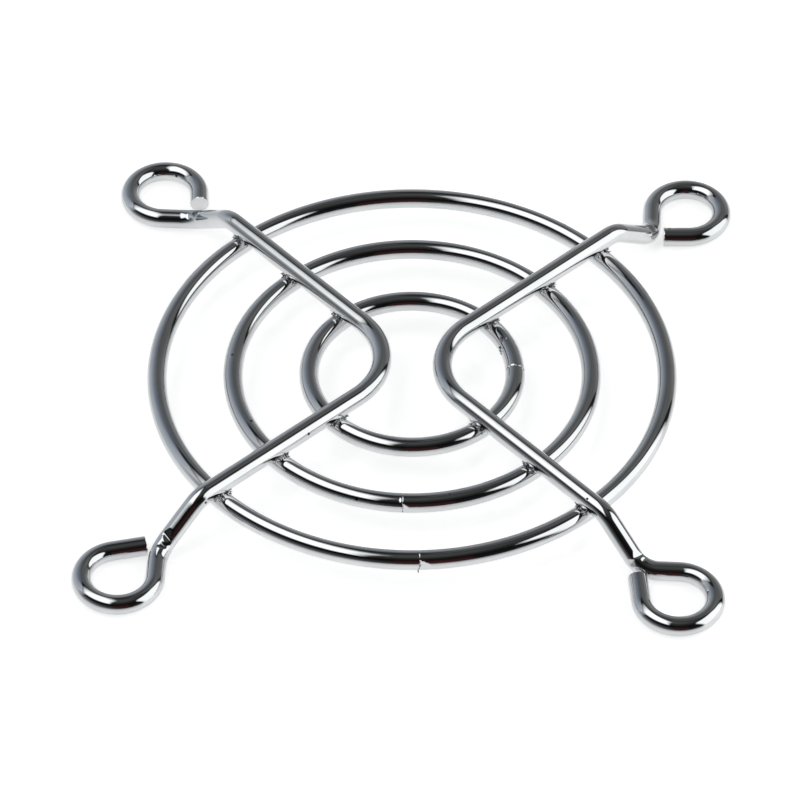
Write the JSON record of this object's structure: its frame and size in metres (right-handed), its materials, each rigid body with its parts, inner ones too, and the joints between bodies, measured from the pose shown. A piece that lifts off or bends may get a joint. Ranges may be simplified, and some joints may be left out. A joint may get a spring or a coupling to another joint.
{
  "type": "wire fan guard",
  "caption": "Square wire fan guard: concentric rings welded under two bent V ribs that end in screw eyes, in bright plated steel.",
  "frame": {"origin": "centre of the four screw eyes, on the plane that the eyes stand on", "axes": "+Z out of the mounting plane, away from the fan; +X and +Y along the rows of screw eyes; the tips of the two V ribs face each other along X"},
  "size_m": [0.0584, 0.0584, 0.0054],
  "materials": {
    "wire": "bright nickel or chrome plating on drawn steel wire",
    "weld": "rough resistance weld flash under the same plating"
  },
  "bodies": {
    "root": {"ring_inner": "wire", "ring_middle": "wire", "ring_outer": "wire", "rib_left": "wire", "rib_right": "wire", "seam_weld_inner": "weld", "seam_weld_middle": "weld", "seam_weld_outer": "weld", "cross_weld_inner_front_left": "weld", "cross_weld_inner_front_right": "weld", "cross_weld_inner_back_right": "weld", "cross_weld_inner_back_left": "weld", "cross_weld_middle_front_left": "weld", "cross_weld_middle_front_right": "weld", "cross_weld_middle_back_right": "weld", "cross_weld_middle_back_left": "weld", "cross_weld_outer_front_left": "weld", "cross_weld_outer_front_right": "weld", "cross_weld_outer_back_right": "weld", "cross_weld_outer_back_left": "weld"}
  },
  "joints": []
}
